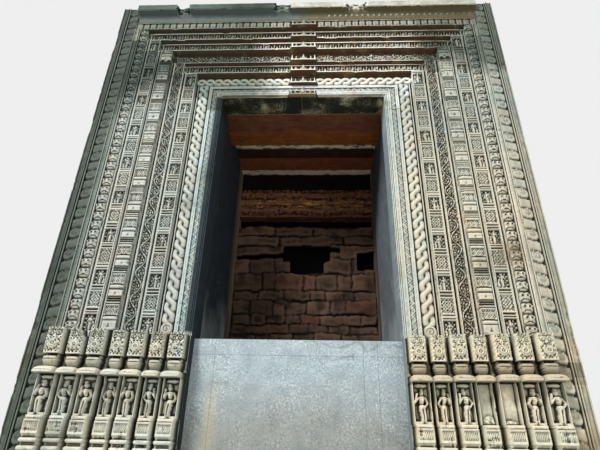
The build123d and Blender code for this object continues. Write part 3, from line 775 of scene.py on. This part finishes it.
def pedestal(number, start, width, front, side):
    feet_and_tops = [course[k] for course in courses for k in (0, 1)]
    rows = np.unique(np.concatenate([np.linspace(0, pedestal_top, 174), feet_and_tops, extra_rows]))
    across = np.concatenate([[0, 8, 14], np.linspace(20, width - 20, round(width / 8.7)),
                             width - np.array([14, 8, 0])])
    z, u = np.meshgrid(rows, across, indexing="ij")
    hand = 1 if side == "right" else -1
    half = width / 2
    off = np.abs(u - half)
    out = moulded_courses(u, off, z, half)
    niche = (z > 846.4) & (z < 1343.2)
    niche_back, pilaster_front = 66, 128
    figure = niche_figure(number, side, u, (u - half) / half, z)
    out = np.where(niche & (off < half - 22), niche_back + figure, out)
    out = np.where(niche & (off >= half - 36) & (off < half - 20), pilaster_front, out)
    block = (z > 1614) & (z < 1928) & (off < half - 36)
    out = np.where(block, out + foliage(number, side, u, off, z, half), out)
    if side == "left" and number == 6:
        cut = u < 115 - (pedestal_top - z) * 0.75 + 9 * np.sin(z / 17)
        out = np.where(cut, np.minimum(out, 48 + u * 0.1), out)
    chance = np.random.default_rng(start + (7 if side == "left" else 0))
    uneven = soften(chance.normal(size=out.shape), 2) * 5
    chipped = np.clip(soften(chance.normal(size=out.shape), 5) * 6 - 0.6, 0, 1) * 22
    out = out + uneven - np.where(out > 120, chipped, 0)
    solid_from_face(f"{side}_pedestal_{number}_carved", hand * (start + u), front - out, z, frame_back,
                    chlorites[side], f"{side}_pedestal_{number}", flip=hand < 0)


for number, (start, width, front) in enumerate(list(bands.values())[:-1], start=1):
    for side in ("left", "right"):
        pedestal(number, start, width, front, side)


# The cornice: one long chlorite stone on the outermost lintel, a hollow moulding under a fascia with a row of
# small lotus drops, broken away in three places.
cornice_foot, cornice_half = 8194, 3344
cove, fascia_top = 166, 315
cove_front, cornice_front = -160, -300
across = np.concatenate([np.linspace(0, cove, 16), [166.5], np.linspace(176, 306, 14), [fascia_top]])
along = np.linspace(-cornice_half, cornice_half, 420)
x, u = np.meshgrid(along, across, indexing="ij")
curve = cove_front - 140 * (1 - np.cos(np.arcsin(np.clip(u / cove, 0, 1))))
y = np.where(u < 166.2, curve, float(cornice_front))
y = np.where((u > 180) & (u < 194), -291.0, y)
y = np.where((np.abs((x / 640) % 1 - 0.5) < 0.05) & (u > 166.2) & (u < 180), -280.0, y)
dots = (np.hypot((x / 110 % 1 - 0.5) * 110, u - 70) < 17) & (x > 400)
y = np.where(dots, y - 12, y)
for break_start, break_end, bite in ((-2546, -2310, 130), (-577, -279, 70), (834, 1210, 85)):
    ragged = 18 * np.sin(u / 17 + break_start) + 9 * np.sin(u / 7)
    broken = (x > break_start + ragged) & (x < break_end + ragged * 0.7) & (u > 128)
    deep = cornice_front + bite * (0.75 + 0.25 * np.sin(x / 31) * np.cos(u / 23))
    y = np.where(broken, np.maximum(y, deep), y)
y = y + soften(np.random.default_rng(5).normal(size=y.shape), 2) * 4
solid_from_face("cornice_carved", x, y, cornice_foot + u, frame_back, chlorites["lintel"],
                "cornice", False, np.where(u < 160, np.where(dots, -0.5, 0.75), 0))


# The foot of the doorway: a plain threshold, and a smooth pale slab that stands on it between the jambs, with a
# pecked face, worn frame lines and the trace of an incised creeper. Both keep their CAD shape.
def dress(stone, *nodes):
    for name in nodes:
        mesh = bpy.data.objects[name].data
        mesh.materials.clear()
        mesh.materials.append(stone.material)


threshold = weathered_and_shaded("plain_chlorite", (0.34, 0.37, 0.34), (0.2, 0.22, 0.2), (0.05, 0.05, 0.05),
                      (0.15, 0.15, 0.12), 0.55)
slab = weathered_and_shaded("slab_stone", (0.36, 0.42, 0.43), (0.24, 0.29, 0.31), (0.08, 0.1, 0.1), (0.24, 0.26, 0.22),
                 0.62, 0.7, 0.25, 60.0)
across, up = slab.place("X"), slab.place("Z")
line_half = 0.006
lines = abs(up - 1.72).join("LESS_THAN", line_half)
for line in (-1.16, 0.93, 1.13):
    lines = lines.join("MAXIMUM", abs(across - line).join("LESS_THAN", line_half))
pecked = slab.noise(30.0, 6.0, 0.9)
group = past(slab.noise(3.0), 0.36, 4)
slab.paint(past(pecked, 0.53, 18) * group * 0.8, (0.72, 0.78, 0.76))
slab.paint(past(pecked, 0.47, -18) * 0.7, (0.13, 0.18, 0.20))
grey_foot = ((1.45 - up) * 1.6 + (slab.broad - 0.5) * 2).clamp()
slab.tint(grey_foot, (0.78, 0.70, 0.62))
creeper = slab.node("ShaderNodeTexWave", {"wave_type": "RINGS"}, {
    "Vector": slab.where, "Scale": 1.6, "Distortion": 9.0, "Detail": 3.0, "Detail Scale": 1.4}, 1)
slab.paint(past(creeper, 0.86, 10) * past(slab.noise(1.4), 0.5, 8) * 0.5, (0.12, 0.15, 0.16))
yellow_edge = (1 - abs(across + 1.15) * 7).clamp() * past(up, 1.6, -1.5)
slab.paint(yellow_edge * 0.5, (0.42, 0.36, 0.2))
slab.paint(lines * 0.45, (0.1, 0.12, 0.12))
dress(threshold, "threshold")
dress(slab, "closing_slab")


# The reveals: tall dressed slabs behind the jambs that line the passage, almost black in the shade on the left,
# and pale with old streaks of limewash on the right.
left_reveal = weathered_and_shaded("reveal_left", (0.02, 0.028, 0.034), (0.01, 0.014, 0.018), (0.006, 0.006, 0.008),
                        (0.03, 0.035, 0.03), 0.6, 0.6, 0.3)
right_reveal = weathered_and_shaded("reveal_right", (0.16, 0.19, 0.20), (0.09, 0.11, 0.12), (0.02, 0.02, 0.025),
                         (0.2, 0.2, 0.17), 0.6, 0.6, 0.3)
for reveal, node, share in ((left_reveal, "left_reveal", 0.9), (right_reveal, "right_reveal", 0.5)):
    reveal.set("Specular IOR Level", 0.2)
    up = reveal.place("Z")
    streaks = past(reveal.noise(2.4, 6.0, 0.8, reveal.stretched(9.0, 9.0, 1.1)), 0.6, 12)
    low_down = ((3.1 - up + (reveal.broad - 0.5) * 3) * 0.9).clamp()
    reveal.paint(low_down * (1.25 - share) * 1.2, (0.40, 0.45, 0.45))
    high_up = ((up - 4.3 + (reveal.broad - 0.5) * 2) * 0.8).clamp()
    reveal.paint(high_up * 0.8, (0.012, 0.017, 0.024))
    reveal.paint(streaks * share * 0.5, (0.40, 0.43, 0.42))
    dots = past(reveal.noise(30.0, 3.0, 0.6), 0.66, 30) * (1.2 - share)
    reveal.paint(dots, (0.45, 0.48, 0.46))
    reveal.paint(past(reveal.place("Y"), 2.15, 20), (0.08, 0.06, 0.035))
    dress(reveal, node)


# The ceiling of the passage: five iron beams side by side in the notches of the reveals, rusted brown, orange
# and almost black, the fifth painted near black as deep shade, with a rough pale bedding slip before and behind
# them, each painted near black outside a ragged pale band.
slip = weathered_and_shaded("pale_slip", (0.72, 0.62, 0.46), (0.45, 0.37, 0.26), (0.15, 0.11, 0.07),
                 (0.22, 0.16, 0.09), 0.55)
ragged = slip.noise(5.0, 6.0, 0.7, slip.stretched(1.0, 3.0, 3.0)) - 0.5
deep = slip.place("Y")
passage_middle = 2.0
# the front slip keeps a ragged pale band near 1.515 m and the rear slip one near 2.49 m; elsewhere both are
# painted near black
front_edge = (abs(deep - 1.515) - 0.035 + ragged * 0.35) * 60
rear_edge = (abs(deep - 2.49) - 0.08 + ragged * 0.5) * 30
front_darkened = front_edge.join("MINIMUM", (passage_middle - deep) * 100).clamp()
rear_darkened = rear_edge.join("MINIMUM", (deep - passage_middle) * 100).clamp()
slip.paint((front_darkened + rear_darkened) * 0.92, (0.035, 0.018, 0.010))
dress(slip, "ceiling_slip_front", "ceiling_slip_rear")
# beams 1, 2 and 4 are rusted brown and orange, beam 3 is dark, and beam 5 is painted near black as deep shade
for number, pale, middle, dark in ((1, (0.16, 0.062, 0.03), (0.09, 0.034, 0.017), (0.03, 0.013, 0.008)),
                                   (2, (0.24, 0.075, 0.015), (0.13, 0.042, 0.012), (0.03, 0.012, 0.006)),
                                   (3, (0.04, 0.016, 0.01), (0.02, 0.009, 0.006), (0.01, 0.005, 0.004)),
                                   (4, (0.20, 0.055, 0.02), (0.11, 0.033, 0.013), (0.03, 0.012, 0.007)),
                                   (5, (0.008, 0.005, 0.004), (0.005, 0.003, 0.003), (0.003, 0.002, 0.002))):
    beam = weathered_and_shaded(f"rusted_iron_{number}", pale, middle, dark, dark, 0.6, 0.85, 0.6, 12.0)
    beam.set("Specular IOR Level", 0.1)
    rusty = past(beam.noise(4.0, 6.0, 0.7, beam.stretched(0.6, 6.0, 6.0)), 0.5, 5) * 0.5
    beam.paint(rusty, [value * 1.9 for value in pale])
    dress(beam, f"ceiling_beam_{number}")


# The rear: two brown stone piers under the rear beam, the laterite blocks over it in deep shade, and the rear
# leaf of laterite, whose front is only seen in the hole and is painted near black as shade. All keep their CAD
# shape.
pier = weathered_and_shaded("pier_stone", (0.15, 0.12, 0.08), (0.08, 0.062, 0.042), (0.02, 0.016, 0.012),
                 (0.06, 0.045, 0.03), 0.55)
dress(pier, "left_rear_pier", "right_rear_pier")
over_beam = weathered_and_shaded("laterite_over", (0.012, 0.008, 0.006), (0.006, 0.004, 0.003), (0.003, 0.002, 0.002),
                      (0.005, 0.003, 0.002), 0.5, 0.95, 1.0, 18.0)
over_beam.set("Specular IOR Level", 0.0)
dress(over_beam, "blocking_over_beam")
rear_leaf = weathered_and_shaded("laterite_inner", (0.16, 0.10, 0.065), (0.10, 0.06, 0.04), (0.03, 0.02, 0.014),
                      (0.07, 0.04, 0.026), 0.5, 0.95, 1.0, 18.0)
rear_leaf.set("Specular IOR Level", 0.0)
# painted shade: the front of the rear leaf, seen through the hole, is near black
dark_front = past(rear_leaf.place("Y"), 2.87, -100)
rear_leaf.paint(dark_front, (0.004, 0.003, 0.002))
dress(rear_leaf, "blocking_masonry_rear")


# The rear beam: old rolled iron on the piers, with its faces flaking off in bright rusty scales between dark
# bands.
beam_half = 1779
beam_foot, beam_top = 5218, 5919
beam_front, beam_back = 2606, 2899
z, x = np.meshgrid(np.linspace(beam_foot, beam_top, 40), np.linspace(-beam_half, beam_half, 200), indexing="ij")
chance = np.random.default_rng(11)
layers = soften(chance.normal(size=z.shape), 1) + 3 * soften(chance.normal(size=z.shape), 4)
flakes = np.floor(layers * 3 + 2.5 * np.sin(z / 31 + 0.6 * np.sin(x / 210))) / 3
y = beam_front + 16 * np.clip(flakes, -1.2, 1.6) + 10
rust = weathered_and_shaded("rusted_iron", (0.13, 0.055, 0.034), (0.055, 0.023, 0.014), (0.008, 0.005, 0.004),
                 (0.05, 0.02, 0.012), 0.55, 0.9, 1.0, 22.0)
rust.set("Specular IOR Level", 0.1)
from_middle = abs((rust.place("Z") - 5.56) * 4.0) + abs(rust.place("X") - 0.1) * 0.3
flaking = 1.15 - from_middle.clamp()
scales = past(rust.noise(6.0, 8.0, 0.8, rust.stretched(0.5, 4.0, 4.0)), 0.5, 9)
rust.paint(scales * flaking, (0.60, 0.28, 0.07))
solid_from_face("rear_beam_flaking", x, y, z, beam_back, rust.material, "rear_beam")


# Blocking masonry: rough laterite blocks laid dry in uneven courses, with a hole where some have fallen out,
# painted black as shade. The courses that the slab hides are plain.
wall_top = 4986
wall_front, wall_back = 2686, 2849
hole_foot, hole_top = 3888, 4536
height = np.concatenate([np.linspace(0, 1850, 8), np.linspace(1868, wall_top, 156)])
z, x = np.meshgrid(height, np.linspace(-half_opening, half_opening, 150), indexing="ij")
chance = np.random.default_rng(3)
bent = [150 * soften(soften(chance.normal(size=z.shape), 3), 4) + 14 * soften(chance.normal(size=z.shape), 1)
        for k in (0, 1)]
depth = np.zeros(z.shape)
tone = np.zeros(z.shape)
course = 0
while course < wall_top:
    tall = 324 if course < 1600 else chance.uniform(170, 330)
    top = course + tall if course + 1.4 * tall < wall_top else wall_top
    if 3560 < top < 4200:
        top = hole_foot
    if course == hole_foot:
        top = 4240
    block_start = -half_opening
    while block_start < half_opening:
        wide = chance.uniform(230, 640) if course < 4200 else chance.uniform(760, 1500)
        block_end = block_start + wide if block_start + wide < 1330 else half_opening
        along = x + bent[0]
        level = z + 16 * np.sin(x / 400 + course) + bent[1]
        within = (along >= block_start) & (along <= block_end) & (level >= course) & (level <= top)
        u = np.abs((along - (block_start + block_end) / 2) / ((block_end - block_start) / 2))
        v = np.abs((level - (course + top) / 2) / ((top - course) / 2))
        face = 36 * (1 - np.clip(u ** 10 + v ** 6, 0, 1)) ** 0.5 + chance.uniform(0, 48)
        depth = np.where(within, face, depth)
        tone = np.where(within, chance.uniform(-0.35, 0.35), tone)
        block_start = block_end
    course = top
depth = depth + chance.normal(size=z.shape) + 260 * soften(soften(chance.normal(size=z.shape), 4), 5)
depth = np.clip(depth, 0, 100)
hole = (x > -463) & (x < 541) & (z > hole_foot) & (z < hole_top)
hole = hole & ~((z < 4150) & (np.abs(x - 60) > 330 + 30 * np.sin(x / 60)))
hole = hole | ((x > 500) & (x < 760) & (z > 4375) & (z < 4470))
hole = hole | ((x < -430) & (np.abs(z - 4320 - x / 20) < 50))
hole = hole | ((x > 1120) & (z > 3970) & (z < 4330 + (x - 1120) * 0.2))
fallen_out = soften(hole.astype(float), 1) > 0.45 + 0.25 * soften(chance.normal(size=z.shape), 2)
y = np.where(fallen_out, wall_back - 3, wall_front - depth)
laterite = weathered_and_shaded("laterite", (0.092, 0.056, 0.036), (0.044, 0.027, 0.018), (0.010, 0.006, 0.004),
                     (0.030, 0.018, 0.012), 0.5, 0.95, 1.0, 18.0)
laterite.set("Specular IOR Level", 0.1)
block_tone = laterite.marked("brown")
laterite.paint(past(block_tone, 0.27, 20) * 0.6, (0.070, 0.021, 0.013))
laterite.paint((block_tone * -1.6).clamp(), (0.022, 0.015, 0.011))
# painted shade: the hole where blocks have fallen out is black
laterite.paint((block_tone * -1.5 - 0.8).clamp(), (0.0, 0.0, 0.0))
solid_from_face("blocking_masonry_rough", x, y, z, wall_back, laterite.material,
                "blocking_masonry_front", False, np.where(fallen_out, -3.0, tone))


# The stage: a plain pale floor, a soft sky that the camera sees as a pale grey, a key light from the upper left
# and a weak fill from the right.
floor = bpy.data.objects.new("floor", bpy.data.meshes.new("floor"))
floor.data.from_pydata([(-60, -60, 0), (60, -60, 0), (60, 60, 0), (-60, 60, 0)], [], [(0, 1, 2, 3)])
scene.collection.objects.link(floor)
ground = Finish("floor")
ground.set("Base Color", (0.6, 0.6, 0.58))
ground.set("Roughness", 0.9)
floor.data.materials.append(ground.material)
scene.world = bpy.data.worlds.new("sky")
scene.world.use_nodes = True
sky = Nodes(scene.world.node_tree)
soft = sky.tree.nodes["Background"]
feed(sky.tree, soft.inputs["Color"], (0.9, 0.95, 1.0))
feed(sky.tree, soft.inputs["Strength"], 0.55)
seen = sky.node("ShaderNodeBackground", {}, {"Color": (0.86, 0.86, 0.86)})
to_camera = sky.node("ShaderNodeLightPath", {}, {}, "Is Camera Ray")
either = sky.node("ShaderNodeMixShader", {}, {0: to_camera, 1: Socket(sky.tree, soft.outputs[0]), 2: seen})
feed(sky.tree, sky.tree.nodes["World Output"].inputs[0], either)
for name, place, aim, size, power in (("key", (-8, -13, 17), (0, 0, 4.5), 4, 5200),
                                      ("fill", (11, -14, 5), (0, 0, 4), 9, 900)):
    light = bpy.data.objects.new(name, bpy.data.lights.new(name, "AREA"))
    light.data.size = size
    light.data.energy = power
    light.location = place
    light.rotation_euler = (Vector(aim) - Vector(place)).to_track_quat("-Z", "Y").to_euler()
    scene.collection.objects.link(light)
